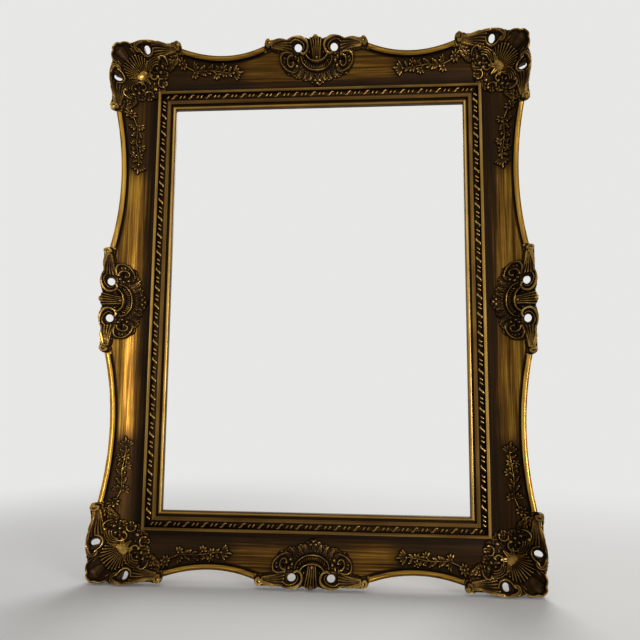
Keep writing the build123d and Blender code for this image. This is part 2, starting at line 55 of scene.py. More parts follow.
# Sizes of the frame in millimetres, as in the part's source; a reach goes outwards from the sight edge
SIGHT_HALF_WIDTH = 220.0
SIGHT_HALF_HEIGHT = 303.5
REBATE_WIDTH = 7.0
FOOT_HEIGHT = 14.5
COVE_START = 30.0
COVE_RADIUS = 46.0
SLOPE = math.radians(48.0)
FLANGE_THICKNESS = 9.0
RAIL_REACH = 88.0
SWEEP_REACH = 74.0
SWEEP_END_REACH = 83.0
CASTING_REACH = 91.0
CORNER_TIP = 87.5
CORNER_ARM = 13.0
CORNER_PIERCING = (38.5, 82.0)
CENTRE_HALF = 76.0
CENTRE_PIERCING = (27.0, 79.0)
SHELL = 53.0
ROPE_INNER = 13.2
ROPE_OUTER = 21.8
ROPE_FLOOR = 22.0
ROPE_TOP = 26.2
GLUE_GAP = 0.2

# Sizes of the carving
CASTING_GRID = 0.5
SPRAY_GRID = 0.45
FRONT_GAP = 0.1
LEAST_THICKNESS = 0.45
PIERCING_RADIUS = 4.4
OVAL_HALF_LENGTH = 5.5
OVAL_HALF_HEIGHT = 3.9
MITRE_ROUNDING = 2.5
FEATHER_SPACING = 5.2
FEATHER_LENGTH = 8.0
FEATHER_WIDTH = 2.1
FEATHER_RISE = 3.8

COVE_END_REACH = COVE_START + COVE_RADIUS * math.sin(SLOPE)
COVE_END_HEIGHT = FOOT_HEIGHT + COVE_RADIUS * (1 - math.cos(SLOPE))
BACK_REACH = COVE_END_REACH - (COVE_END_HEIGHT - FLANGE_THICKNESS / math.cos(SLOPE)) / math.tan(SLOPE)
CENTRE_Z = -(SIGHT_HALF_HEIGHT + (REBATE_WIDTH + BACK_REACH) / 2)
FRONT = -cad_box[0][1] / MM - FRONT_GAP

# Place of each side: origin, direction along and direction outwards, in the XZ plane
SIDES = {
    "top": ((0, SIGHT_HALF_HEIGHT), (1, 0), (0, 1)),
    "right": ((SIGHT_HALF_WIDTH, 0), (0, -1), (1, 0)),
    "bottom": ((0, -SIGHT_HALF_HEIGHT), (-1, 0), (0, -1)),
    "left": ((-SIGHT_HALF_WIDTH, 0), (0, 1), (-1, 0)),
}
# Each corner: the rail that runs to it clockwise, the next rail, and its place on the sight opening
CORNERS = {
    "top_right": ("top", "right", (SIGHT_HALF_WIDTH, SIGHT_HALF_HEIGHT)),
    "bottom_right": ("right", "bottom", (SIGHT_HALF_WIDTH, -SIGHT_HALF_HEIGHT)),
    "bottom_left": ("bottom", "left", (-SIGHT_HALF_WIDTH, -SIGHT_HALF_HEIGHT)),
    "top_left": ("left", "top", (-SIGHT_HALF_WIDTH, SIGHT_HALF_HEIGHT)),
}


# Curves and fields
def hollow(reach):
    """Height of the rails' hollow face over the wall at a reach from the sight edge."""
    along = np.clip(reach - COVE_START, 0, COVE_RADIUS * math.sin(SLOPE))
    arc = FOOT_HEIGHT + COVE_RADIUS - np.sqrt(COVE_RADIUS**2 - along**2)
    run = np.clip(np.minimum(reach, RAIL_REACH) - COVE_END_REACH, 0, None)
    return arc + run * math.tan(SLOPE)


def stretch(reach):
    """What a rise along the hollow's normal measures towards the viewer."""
    along = np.clip(reach - COVE_START, 0, COVE_RADIUS * math.sin(SLOPE))
    return 1 / np.sqrt(1 - (along / COVE_RADIUS) ** 2)


def dome(q):
    """Half circle over -1 to 1."""
    return np.sqrt(np.clip(1 - q * q, 0, None))


def heading(angle):
    """Unit vector at an angle in degrees."""
    return np.array([math.cos(math.radians(angle)), math.sin(math.radians(angle))])


def curve(points, steps=8):
    """Points of a Catmull-Rom curve through the given points."""
    p = np.asarray(points, float)
    p = np.vstack([2 * p[0] - p[1], p, 2 * p[-1] - p[-2]])
    t = np.linspace(0, 1, steps, endpoint=False)[:, None]
    spans = []
    for a, b, c, d in zip(p, p[1:], p[2:], p[3:]):
        square = (2 * a - 5 * b + 4 * c - d) * t**2
        cube = (3 * b - a - 3 * c + d) * t**3
        spans.append(0.5 * (2 * b + (c - a) * t + square + cube))
    return np.vstack(spans + [p[-2:-1]])


def spiral(centre, start_radius, end_radius, start, end, steps=28):
    """Points of a spiral, with angles in degrees."""
    share = np.linspace(0, 1, steps)
    angle = np.radians(start + (end - start) * share)
    radius = start_radius + (end_radius - start_radius) * share
    return np.stack([centre[0] + radius * np.cos(angle), centre[1] + radius * np.sin(angle)], 1)


def scalloped(points, steps=10):
    """Polyline of arcs through points given as (x, y, bulge), each bulge outwards from the last point."""
    out = []
    for before, after in zip(points, points[1:]):
        a, b, bulge = np.array(before[:2], float), np.array(after[:2], float), after[2]
        chord = b - a
        length = np.hypot(*chord)
        ahead = chord / length
        outward = np.array([ahead[1], -ahead[0]])
        radius = (length**2 / 4 + bulge**2) / (2 * bulge)
        half = math.asin(min(1.0, length / 2 / radius))
        centre = (a + b) / 2 - outward * (radius - bulge)
        for theta in np.linspace(-half, half, steps, endpoint=False):
            out.append(centre + radius * (math.sin(theta) * ahead + math.cos(theta) * outward))
    out.append(np.array(points[-1][:2], float))
    return np.array(out)


def nearest(path, u, v):
    """Share of the path's length at the nearest place on it, and distance to the left of it."""
    best = np.full(u.shape, np.inf)
    share = np.zeros(u.shape)
    side = np.zeros(u.shape)
    spans = np.hypot(*np.diff(path, axis=0).T)
    run = np.concatenate([[0], np.cumsum(spans)])
    for i, span in enumerate(spans):
        du, dv = (path[i + 1] - path[i]) / span
        pu, pv = u - path[i][0], v - path[i][1]
        t = np.clip(pu * du + pv * dv, 0, span)
        eu, ev = pu - t * du, pv - t * dv
        distance = np.hypot(eu, ev)
        closer = distance < best
        best = np.where(closer, distance, best)
        share = np.where(closer, (run[i] + t) / run[-1], share)
        side = np.where(closer, np.where(du * ev - dv * eu >= 0, distance, -distance), side)
    return share, side


def polygon_inside(polygon, u, v):
    """Distance inside a closed outline, negative outside it."""
    best = np.full(u.shape, np.inf)
    odd = np.zeros(u.shape, bool)
    for a, b in zip(polygon, np.roll(polygon, -1, 0)):
        d = b - a
        t = np.clip(((u - a[0]) * d[0] + (v - a[1]) * d[1]) / (d @ d + 1e-12), 0, 1)
        best = np.minimum(best, (u - a[0] - t * d[0]) ** 2 + (v - a[1] - t * d[1]) ** 2)
        if a[1] != b[1]:
            odd ^= ((a[1] > v) != (b[1] > v)) & (u < a[0] + (v - a[1]) / d[1] * d[0])
    return np.where(odd, 1, -1) * np.sqrt(best)


def blurred(field, cells):
    """Three box blurs of a field, along each axis in turn."""
    width = 2 * cells + 1
    for _ in range(3 * 2):
        total = np.cumsum(np.pad(field, [(cells + 1, cells), (0, 0)], mode="edge"), 0)
        field = ((total[width:] - total[:-width]) / width).T
    return field


# Carving
LEFT, RIGHT = 1, -1


class Relief:
    """Carving on a grid: rise over the hollow face, gold, and how far inside the outline each point lies."""

    def __init__(self, low, high, step, grows=False):
        self.step = step
        self.grows = grows
        us = np.arange(low[0], high[0] + step / 2, step)
        vs = np.arange(low[1], high[1] + step / 2, step)
        self.u, self.v = np.meshgrid(us, vs, indexing="ij")
        self.rise = np.zeros(self.u.shape)
        self.gold = np.zeros(self.u.shape)
        self.inside = np.full(self.u.shape, -9.0)

    def window(self, path, margin):
        """Part of the grid round a path."""
        corner = (self.u[0, 0], self.v[0, 0])
        low = (path.min(0) - margin - corner) / self.step
        high = (path.max(0) + margin - corner) / self.step + 2
        return tuple(slice(int(max(a, 0)), int(max(b, 0))) for a, b in zip(low, high))

    def lay(self, area, rise, inside):
        """Lay a form on the carving; a relief that grows takes its outline from what is laid."""
        self.rise[area] = np.maximum(self.rise[area], np.where(inside > 0, rise, 0))
        if self.grows:
            self.inside[area] = np.maximum(self.inside[area], inside)

    def over(self, rise):
        """Lay a field over the whole carving."""
        self.rise = np.maximum(self.rise, rise)

    def band(self, path, width, rise, gutter=0.0, taper=0.0, swell=0.0):
        """A rounded or guttered band along a path, which tapers to its end or swells in its middle."""
        area = self.window(path, width + 2)
        share, side = nearest(path, self.u[area], self.v[area])
        half = width * (1 - taper * share) * (1 - swell + swell * np.sin(np.pi * share))
        q = np.clip(side / half, -1, 1)
        top = dome(q**3 if gutter else q)
        self.lay(area, rise * top * (1 - gutter * (1 - q**2)), half - np.abs(side))

    def bead(self, centre, radius, rise):
        """A ball that stands proud by most of its radius."""
        area = self.window(np.array([centre], float), radius + 2)
        distance = np.hypot(self.u[area] - centre[0], self.v[area] - centre[1])
        proud = radius * 0.8
        self.lay(area, rise - proud + proud * dome(distance / radius), radius - distance)

    def volute(self, centre, radius, start, end, rise):
        """A scroll that winds in to a round eye."""
        width = 1.9
        path = spiral(centre, radius, 1.4, start, end)
        self.band(path, width, rise, gutter=0.1)
        self.bead(path[-1], width * 1.25, rise * 1.08)

    def polar(self, centre, facing):
        """Distance from a centre, and angle in degrees from where it faces."""
        du, dv = self.u - centre[0], self.v - centre[1]
        angle = (np.degrees(np.arctan2(dv, du)) - facing + 180) % 360 - 180
        return np.hypot(du, dv), angle

    def fan(self, centre, facing, spread, radius, ribs, rise, sharp, inner, dish):
        """Ribs that spread from a centre, with a scalloped edge and a hollow middle."""
        distance, angle = self.polar(centre, facing)
        wave = (0.5 - 0.5 * np.cos(2 * np.pi * (angle / spread + 0.5) * ribs)) ** sharp
        edge = radius * (0.94 + 0.06 * np.sqrt(wave))
        inside = np.minimum(edge - distance, (spread / 2 - np.abs(angle)) * np.radians(1) * distance)
        inside = np.minimum(inside, distance - inner)
        share = np.clip(distance / radius, 0, 1)
        end = np.sqrt(np.clip((edge - distance) / (0.18 * radius), 0, 1))
        groove = 0.34 * np.clip(share * 2.2, 0, 1) * (1 - wave)
        body = rise * (1 - dish * (1 - share)) * (1 - groove) * end
        self.over(np.where(inside > 0, body, 0))

    def shell(self, centre, facing, spread, radius, ribs, rise):
        """Fan of ribs, longest in the middle, that rise to rounded ends."""
        distance, angle = self.polar(centre, facing)
        wave = 0.5 - 0.5 * np.cos(2 * np.pi * (angle / spread + 0.5) * ribs)
        edge = radius * (1 + 0.13 * np.cos(np.radians(2 * angle))) * (0.95 + 0.05 * np.sqrt(wave))
        share = np.clip(distance / edge, 0, 1)
        end = np.sqrt(np.clip((1 - share) / 0.1, 0, 1))
        body = rise * (0.5 + 0.5 * share) * (0.45 + 0.55 * wave) * end
        inside = (np.abs(angle) < spread / 2) & (distance < edge)
        self.over(np.where(inside, body, 0))

    def petal(self, points, width, rise, crease=0.2):
        """A drop shaped leaf, narrow at its root and rounded at its tip, with a crease along its middle."""
        path = curve(points, 5)
        area = self.window(path, width + 2)
        share, side = nearest(path, self.u[area], self.v[area])
        half = width * np.sin(np.pi * (0.14 + 0.78 * share)) ** 0.7
        q = np.clip(side / half, -1, 1)
        body = dome(q) * (0.6 + 0.4 * share) * (1 - crease * np.exp(-((q / 0.28) ** 2)))
        self.lay(area, rise * body, half - np.abs(side))

    def spread(self, centre, angles, inner, length, width, rise):
        """Petals that spread from a centre at the given angles."""
        for angle in angles:
            ahead = heading(angle)
            root = np.array(centre) + inner * ahead
            self.petal([root, root + ahead * length / 2, root + ahead * length], width, rise)

    def fringe(self, path, side, count, length, width, rise, lean, span=(0.06, 0.94)):
        """Leaflets along the left or right of a path, which lean towards its end."""
        run = np.concatenate([[0], np.cumsum(np.hypot(*np.diff(path, axis=0).T))])
        tilt = math.radians(lean)
        for place in np.linspace(*span, count) * run[-1]:
            index = min(np.searchsorted(run, place, "right") - 1, len(path) - 2)
            ahead = (path[index + 1] - path[index]) / (run[index + 1] - run[index])
            root = path[index] + ahead * (place - run[index])
            out = side * np.array([-ahead[1], ahead[0]]) * math.cos(tilt) + ahead * math.sin(tilt)
            self.petal([root, root + (0.5 * out - 0.08 * ahead) * length, root + out * length], width, rise)

    def feathers(self, ground, centre):
        """Small leaves over the ground in staggered rows, pointing away from a centre, a little astray."""
        low_u, low_v = self.u[0, 0], self.v[0, 0]
        for row, v in enumerate(np.arange(low_v, self.v[0, -1], FEATHER_SPACING * 0.75)):
            for u in np.arange(low_u + row % 2 * FEATHER_SPACING / 2, self.u[-1, 0], FEATHER_SPACING):
                if ground[int((u - low_u) / self.step), int((v - low_v) / self.step)] < 1.2:
                    continue
                angle = math.atan2(v - centre[1], u - centre[0])
                angle += 0.5 * math.sin(0.3 * u) * math.cos(0.25 * v)
                ahead = np.array([math.cos(angle), math.sin(angle)])
                bow = 0.12 * FEATHER_LENGTH * np.array([-ahead[1], ahead[0]]) * (1 if row % 3 else -1)
                spot = np.array([u, v])
                half = ahead * FEATHER_LENGTH / 2
                self.petal([spot - half, spot + bow, spot + half], FEATHER_WIDTH, FEATHER_RISE)

    def flutes(self, first, last, count, width, rise, taper=0.0):
        """Rounded ridges that fill the strip between two guide lines."""
        first, last = curve(first), curve(last)
        for share in np.linspace(0, 1, count):
            self.band(first + (last - first) * share, width, rise, taper=taper)

    def sink(self, beyond, width):
        """Slope down to a piercing, given the distance beyond its edge."""
        self.rise *= np.clip(0.25 + 0.75 * beyond / width, 0.25, 1)

    def roll(self, edge, radius, rise):
        """A rounded bead along the outline."""
        self.over(np.where(edge < 2 * radius, rise * dome((edge - radius) / radius), 0))

    def finish(self, edge, tip):
        """Ground with shallow ripples, a rolled edge that stands higher at the tip, and rounded sides."""
        across, out = np.abs(self.u), self.v
        ripple = 0.4 * np.sin(1.1 * across + 0.5 * out) * np.sin(1.1 * out + 0.5 * across)
        self.over(1.4 + ripple)
        self.roll(edge, 2.2, tip)
        self.roll(edge, 1.3, 2.2)
        self.rise *= 0.25 + 0.75 * dome(1 - np.clip(edge / 1.4, 0, 1))
        self.inside = edge

    def tone(self):
        """Tone of the carving: lighter on crests and on the highest places, where the gilding is rubbed and
        carries a painted highlight, darker in hollows, and lighter where the carving has gold.
        """
        crest = self.rise - blurred(self.rise, 2)
        wide = self.rise - blurred(self.rise, round(3.0 / self.step))
        high = 0.5 * np.clip((self.rise - 4.6) / 1.8, 0, 1)
        return np.clip(crest + 0.14 * wide + high + self.gold, -1, 1)


def carved_mesh(relief, top_reach, under_reach):
    """Closed mesh of a carving and the tone of its points; the back lies on the hollow."""
    inside = relief.inside
    middle = (inside[:-1, :-1] + inside[1:, :-1] + inside[:-1, 1:] + inside[1:, 1:]) / 4
    cells = np.argwhere(middle > 0)
    quads = np.stack([cells, cells + (1, 0), cells + (1, 1), cells + (0, 1)], 1)
    used = np.unique(quads.reshape(-1, 2), axis=0)
    count = len(used)
    i, j = used[:, 0], used[:, 1]
    index = np.full(inside.shape, -1)
    index[i, j] = np.arange(count)
    front = index[quads[..., 0], quads[..., 1]]
    edges = np.stack([front, np.roll(front, -1, 1)], 2).reshape(-1, 2)
    rim = edges[~np.isin(edges @ (count, 1), edges @ (1, count))]

    # Points of the rim are moved on to the outline itself
    u, v = relief.u[i, j], relief.v[i, j]
    on_rim = np.unique(rim)
    slope_u, slope_v = (slope[i, j][on_rim] for slope in np.gradient(inside, relief.step))
    steep = np.maximum(np.hypot(slope_u, slope_v), 0.4)
    move = np.clip(inside[i, j][on_rim] / steep, -relief.step, relief.step)
    u[on_rim] -= move * slope_u / steep
    v[on_rim] -= move * slope_v / steep

    reach, base = top_reach(u, v), under_reach(u, v)
    under = hollow(base) + GLUE_GAP * stretch(base)
    top = hollow(reach) + relief.rise[i, j] * stretch(reach)
    top = np.clip(np.maximum(top, under + LEAST_THICKNESS), None, FRONT)
    vertices = np.concatenate([np.stack([u, v, top], 1), np.stack([u, v, under], 1)])
    walls = np.stack([rim[:, 1], rim[:, 0], rim[:, 0] + count, rim[:, 1] + count], 1)
    faces = np.concatenate([front, front[:, ::-1] + count, walls])
    return vertices, faces, np.concatenate([relief.tone()[i, j], np.full(count, -0.8)])


def placed(vertices, place):
    """Points along a rail, outwards and towards the viewer, moved to a place on the frame, in metres."""
    origin, along, outwards = (np.array(part, float) for part in place)
    flat = origin + vertices[:, :1] * along + vertices[:, 1:2] * outwards
    return np.stack([flat[:, 0], -vertices[:, 2], flat[:, 1] + CENTRE_Z], 1) * MM


def new_object(name, data):
    made = bpy.data.objects.new(name, data)
    bpy.context.scene.collection.objects.link(made)
    return made


def make_piece(node, vertices, faces, tone, material):
    """A carved piece in the place of a node; its tone is kept for the gilding."""
    name = f"carved_{node}"
    mesh = bpy.data.meshes.new(name)
    mesh.from_pydata(vertices.tolist(), [], [list(map(int, face)) for face in faces])
    mesh.update()
    mesh.polygons.foreach_set("use_smooth", np.ones(len(mesh.polygons), bool))
    crest = mesh.attributes.new("crest", "FLOAT", "POINT")
    crest.data.foreach_set("value", np.asarray(tone, np.float32))
    mesh.materials.append(material)
    piece = new_object(name, mesh)
    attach(piece, "frame")
    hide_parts(node)


# Materials
class Nodes:
    """Short ways to add nodes to a node tree."""

    def __init__(self, tree):
        self.nodes = tree.nodes
        self.links = tree.links

    def feed(self, socket, value):
        """Give a socket a number, a colour or another node's output."""
        if isinstance(value, (int, float, tuple)):
            socket.default_value = value
        else:
            self.links.new(value, socket)

    def fill(self, node, **values):
        """Feed a node's sockets by name, with an underscore for each space."""
        for name, value in values.items():
            self.feed(node.inputs[name.replace("_", " ")], value)
        return node

    def add(self, kind, **values):
        return self.fill(self.nodes.new(kind), **values)

    def math(self, operation, *values, clamp=False):
        node = self.add("ShaderNodeMath")
        node.operation = operation
        node.use_clamp = clamp
        for socket, value in zip(node.inputs, values):
            self.feed(socket, value)
        return node.outputs[0]

    def ramp(self, value, stops):
        node = self.add("ShaderNodeValToRGB")
        while len(node.color_ramp.elements) < len(stops):
            node.color_ramp.elements.new(0.5)
        for element, (place, colour) in zip(node.color_ramp.elements, stops):
            element.position = place
            element.color = (*colour, 1)
        self.feed(node.inputs[0], value)
        return node.outputs[0]

    def level(self, value, low, high, out_low=0.0, out_high=1.0):
        """Smooth step from out_low at low to out_high at high."""
        node = self.add("ShaderNodeMapRange", Value=value, From_Min=low, From_Max=high)
        node.interpolation_type = "SMOOTHSTEP"
        return self.fill(node, To_Min=out_low, To_Max=out_high).outputs["Result"]

    def noise(self, vector, scale, detail=4.0, rough=0.55):
        node = self.add("ShaderNodeTexNoise", Vector=vector, Scale=scale, Detail=detail, Roughness=rough)
        return node.outputs["Fac"]

    def vary(self, tone, noise, gain, shift=0.0, clamp=False):
        """Tone with noise added, spread by a gain about a shift."""
        return self.math("ADD", tone, self.math("MULTIPLY_ADD", noise, gain, shift - gain / 2), clamp=clamp)

    def mix(self, factor, a, b):
        """Mix of two colours, which are the node's sockets 6 and 7, and its output 2."""
        node = self.add("ShaderNodeMix")
        node.data_type = "RGBA"
        for socket, value in ((node.inputs["Factor"], factor), (node.inputs[6], a), (node.inputs[7], b)):
            self.feed(socket, value)
        return node.outputs[2]

    def parts(self, vector):
        return tuple(self.add("ShaderNodeSeparateXYZ", Vector=vector).outputs)

    def place(self):
        return self.add("ShaderNodeTexCoord").outputs["Object"]

    def crest(self):
        """Tone that the carved pieces carry."""
        node = self.add("ShaderNodeAttribute")
        node.attribute_name = "crest"
        return node.outputs["Fac"]

    def glazed_and_shaded(self, tone, distance, openness, least, clamp=False):
        """Tone that falls to its least share in recesses, by how open a point is within a distance: painted
        shade, which also stands for glaze in the hollows.
        """
        node = self.add("ShaderNodeAmbientOcclusion", Distance=distance)
        node.samples = 8
        return self.math("MULTIPLY", tone, self.level(node.outputs["AO"], *openness, least), clamp=clamp)

    def bump(self, shader, height, strength, distance):
        node = self.add("ShaderNodeBump", Height=height, Strength=strength, Distance=distance)
        self.fill(shader, Normal=node.outputs[0])

    def blend(self, output, factor, a, b):
        """Give an output node a blend of two shaders."""
        node = self.add("ShaderNodeMixShader")
        for socket, value in zip(node.inputs, (factor, a.outputs[0], b.outputs[0])):
            self.feed(socket, value)
        self.fill(self.nodes[output], Surface=node.outputs[0])


def new_material(name):
    material = bpy.data.materials.new(name)
    material.use_nodes = True
    return material, Nodes(material.node_tree), material.node_tree.nodes["Principled BSDF"]


DARK_GLAZE_AND_SHADE = (0.0085, 0.0040, 0.0011)
BROWN = (0.028, 0.0126, 0.0030)
DEEP_GOLD = (0.115, 0.052, 0.0080)
GOLD = (0.34, 0.186, 0.025)
BRIGHT_GOLD = (0.68, 0.425, 0.090)
# The castings, ropes and mouldings take paler gold, which paints the pale glints of reflected light on them
PALE_DEEP_GOLD = (0.102, 0.053, 0.0125)
PALE_GOLD = (0.285, 0.165, 0.036)
PALE_BRIGHT_GOLD = (0.58, 0.38, 0.115)
TONES = (0.0, 0.3, 0.55, 0.8, 1.0)
RAIL_GILT = tuple(zip(TONES, (DARK_GLAZE_AND_SHADE, BROWN, DEEP_GOLD, GOLD, BRIGHT_GOLD)))
PALE_GILT = tuple(zip(TONES, (DARK_GLAZE_AND_SHADE, BROWN, PALE_DEEP_GOLD, PALE_GOLD, PALE_BRIGHT_GOLD)))
WOOD = ((0.25, (0.16, 0.092, 0.045)), (0.75, (0.30, 0.19, 0.10)))
STEEL = ((0.3, (0.27, 0.26, 0.245)), (0.7, (0.50, 0.49, 0.465)))


def gilt(tree, tone, stops, rubbed_rough=0.24, glaze_rough=0.5):
    """Colour, metal and roughness of antique gilding: tone 0 is dark glaze and painted shade, tone 1 is gold
    rubbed bright and painted highlight.
    """
    metal = tree.level(tone, 0.0, 0.8, 0.6, 0.95)
    return tree.ramp(tone, stops), metal, tree.level(tone, 0.0, 1.0, glaze_rough, rubbed_rough)


def coat(tree, shader, colour, metal, rough):
    tree.fill(shader, Base_Color=colour, Metallic=metal, Roughness=rough, Specular_IOR_Level=0.12)


def composition_material():
    material, tree, shader = new_material("gilded_composition")
    place = tree.place()
    fine = tree.noise(place, scale=420.0, detail=3.0)
    tone = tree.math("MULTIPLY_ADD", tree.crest(), 0.56, 0.17)
    tone = tree.vary(tone, tree.noise(place, scale=55.0), gain=1.1)
    tone = tree.vary(tone, fine, gain=0.24)
    # Painted shade darkens the carving's recesses, standing also for glaze in its hollows
    tone = tree.glazed_and_shaded(tone, 0.012, openness=(0.1, 0.8), least=0.35, clamp=True)
    coat(tree, shader, *gilt(tree, tone, PALE_GILT))
    tree.bump(shader, fine, strength=0.25, distance=0.0004)
    return material


def rope_material(name, upright):
    """Gilding of the ropes; painted shade gives the level sides less contrast and a darker tone."""
    material, tree, shader = new_material(name)
    fine = tree.noise(tree.place(), scale=300.0, detail=3.0)
    contrast, middle = (0.6, 0.45) if upright else (0.42, 0.38)
    tone = tree.math("MULTIPLY_ADD", tree.crest(), contrast, middle)
    tone = tree.vary(tone, fine, gain=0.5, clamp=True)
    coat(tree, shader, *gilt(tree, tone, PALE_GILT))
    tree.bump(shader, fine, strength=0.2, distance=0.0003)
    return material


# Scale of the noise that makes streaks, along a rail and across it
STREAK_ALONG = 7.0
STREAK_ACROSS = 330.0


def rail_coordinates(tree, upright):
    """Reach and distance from the rail's middle in millimetres, a vector drawn out along it, and streaks."""
    x, y, z = tree.parts(tree.place())
    z = tree.math("SUBTRACT", z, CENTRE_Z * MM)
    along, across, sight = (z, x, SIGHT_HALF_WIDTH) if upright else (x, z, SIGHT_HALF_HEIGHT)
    streak = tree.add("ShaderNodeCombineXYZ")
    scales = (STREAK_ALONG, STREAK_ACROSS, STREAK_ACROSS)
    for socket, value, scale in zip(streak.inputs, (along, across, y), scales):
        tree.feed(socket, tree.math("MULTIPLY", value, scale))
    along = tree.math("DIVIDE", tree.math("ABSOLUTE", along), MM)
    across = tree.math("DIVIDE", tree.math("ABSOLUTE", across), MM)
    streaks = tree.noise(streak.outputs[0], scale=1.0, detail=5.0, rough=0.6)
    return tree.math("SUBTRACT", across, sight), along, streak.outputs[0], streaks


def sweep_distance(tree, reach, along, half):
    """Distance inwards from the swept edge, which is an arc between the castings on each half of a rail."""
    chord = (half - CORNER_ARM - CENTRE_HALF) / 2
    sag = SWEEP_END_REACH - SWEEP_REACH
    radius = (chord**2 + sag**2) / (2 * sag)
    side = tree.math("SUBTRACT", along, CENTRE_HALF + chord)
    out = tree.math("SUBTRACT", reach, SWEEP_REACH + radius)
    square = tree.math("MULTIPLY_ADD", side, side, tree.math("MULTIPLY", out, out))
    return tree.math("SUBTRACT", tree.math("SQRT", square), radius)


# Millimetres over which the rails' gilding changes: in reach, back from the corner, in from the swept edge
HOLLOW_GLAZE_AND_SHADE = (27.0, 58.0)
SPRAY_SHADE_AND_GLAZE = (122.0, 84.0)
LIP_END = (6.0, 6.8)
GROOVE_SHADE_START = (6.2, 7.0)
GROOVE_SHADE_END = (7.8, 9.2)
# Where the outer sides and the back begin, from -1 for a face to the front to 1 for a face to the wall
OUTER_SIDES = (-0.35, -0.1)
BACK = (0.25, 0.35)


def rail_tone(tree, upright, reach, along, streaks):
    """Tone of a rail's gilding; painted shade keeps the level rails darker and their lip duller than on the
    upright rails.
    """
    half, high, rubbed = (SIGHT_HALF_HEIGHT, 0.65, 0.42) if upright else (SIGHT_HALF_WIDTH, 0.54, 0.28)
    # The hollow darkens towards the moulding: glaze, with painted shade of the moulding
    tone = tree.level(reach, *HOLLOW_GLAZE_AND_SHADE, 0.10, high)
    tone = tree.vary(tone, streaks, gain=1.3, shift=-0.04)
    tone = tree.vary(tone, tree.noise(tree.place(), scale=14.0, detail=3.0), gain=0.3)
    # Painted shade darkens the hollow round the castings, sprays and moulding, standing also for glaze
    tone = tree.glazed_and_shaded(tone, 0.018, openness=(0.35, 0.9), least=0.12)
    # Painted shade of the raised carving, with some glaze, darkens the hollow round the sprays and the
    # corners
    sprays = tree.level(along, half - SPRAY_SHADE_AND_GLAZE[0], half - SPRAY_SHADE_AND_GLAZE[1], 1.0, 0.52)
    tone = tree.math("MULTIPLY", tone, sprays)
    # The swept lip is lighter, rubbed gilding with a painted highlight that is stronger on the upright
    # rails, and painted shade darkens the groove along its inner side
    edge = sweep_distance(tree, reach, along, half)
    bright = tree.math("MULTIPLY_ADD", streaks, 0.8, rubbed)
    lip = tree.math("MULTIPLY", tree.level(edge, *LIP_END, 1.0, 0.0), tree.math("SUBTRACT", bright, tone))
    groove = tree.math("MULTIPLY", tree.level(edge, *GROOVE_SHADE_START), tree.level(edge, *GROOVE_SHADE_END, 1.0, 0.0))
    return tree.math("MULTIPLY_ADD", groove, -0.38, tree.math("ADD", tone, lip), clamp=True)


def rail_material(name, upright):
    """Gilding on the front of a rail, toned brown on its outer sides, and bare wood behind."""
    material, tree, shader = new_material(name)
    reach, along, streak, streaks = rail_coordinates(tree, upright)
    _, facing, _ = tree.parts(tree.add("ShaderNodeNewGeometry").outputs["Normal"])
    tone = rail_tone(tree, upright, reach, along, streaks)
    tone = tree.math("MULTIPLY", tone, tree.level(facing, *OUTER_SIDES, 1.0, 0.45))
    gold, metal, rough = gilt(tree, tone, RAIL_GILT, rubbed_rough=0.28, glaze_rough=0.48)
    wood = tree.ramp(tree.noise(streak, scale=2.2, detail=6.0, rough=0.65), WOOD)
    behind = tree.level(facing, *BACK)
    metal = tree.math("MULTIPLY", metal, tree.math("SUBTRACT", 1.0, behind))
    rough = tree.math("MULTIPLY_ADD", behind, 0.3, rough)
    coat(tree, shader, tree.mix(behind, gold, wood), metal, rough)
    tree.bump(shader, streaks, strength=0.22, distance=0.0006)
    return material


# Tone of the sight moulding at shares of its width: bead, groove, flat, rope channel and outer fillet; the
# bright bead and fillet are painted highlights, the dark groove and rope channel painted shade
MOULDING_WIDTH = 30.0
MOULDING_BANDS = (
    (0.0, 0.44), (0.08, 0.84), (0.17, 0.56), (0.225, 0.26), (0.26, 0.50), (0.40, 0.56),
    (0.425, 0.16), (0.72, 0.12), (0.745, 0.60), (0.86, 0.73), (0.90, 0.30),
)


def moulding_material(name, upright):
    """Gilding of the sight mouldings; painted shade keeps the level ones darker than the upright ones."""
    material, tree, shader = new_material(name)
    reach, _, _, streaks = rail_coordinates(tree, upright)
    gain, shift = (1.16, -0.01) if upright else (0.98, -0.06)
    bands = [(share, (gain * tone,) * 3) for share, tone in MOULDING_BANDS]
    tone = tree.ramp(tree.math("DIVIDE", reach, MOULDING_WIDTH), bands)
    tone = tree.vary(tone, streaks, gain=0.6, shift=shift)
    tone = tree.vary(tone, tree.noise(tree.place(), scale=20.0, detail=3.0), gain=0.3)
    # Painted shade darkens the moulding's recesses, standing also for glaze
    tone = tree.glazed_and_shaded(tone, 0.006, openness=(0.2, 0.8), least=0.25, clamp=True)
    coat(tree, shader, *gilt(tree, tone, PALE_GILT, rubbed_rough=0.26, glaze_rough=0.55))
    tree.bump(shader, streaks, strength=0.15, distance=0.0004)
    return material


def steel_material():
    material, tree, shader = new_material("plated_steel")
    spots = tree.noise(tree.place(), scale=260.0)
    rough = tree.level(spots, 0.2, 0.8, 0.42, 0.26)
    tree.fill(shader, Base_Color=tree.ramp(spots, STEEL), Metallic=1.0, Roughness=rough)
    tree.bump(shader, spots, strength=0.15, distance=0.0002)
    return material


def shaded_level_and_lit_upright(make, name):
    """A material for the level sides, darkened by painted shade, and one for the upright ones, brightened by
    painted highlights.
    """
    return make(f"{name}_level", False), make(f"{name}_upright", True)


composition = composition_material()
gilded_rope = shaded_level_and_lit_upright(rope_material, "gilded_rope")
gilded_wood = shaded_level_and_lit_upright(rail_material, "gilded_wood")
gilded_moulding = shaded_level_and_lit_upright(moulding_material, "gilded_moulding")
steel = steel_material()

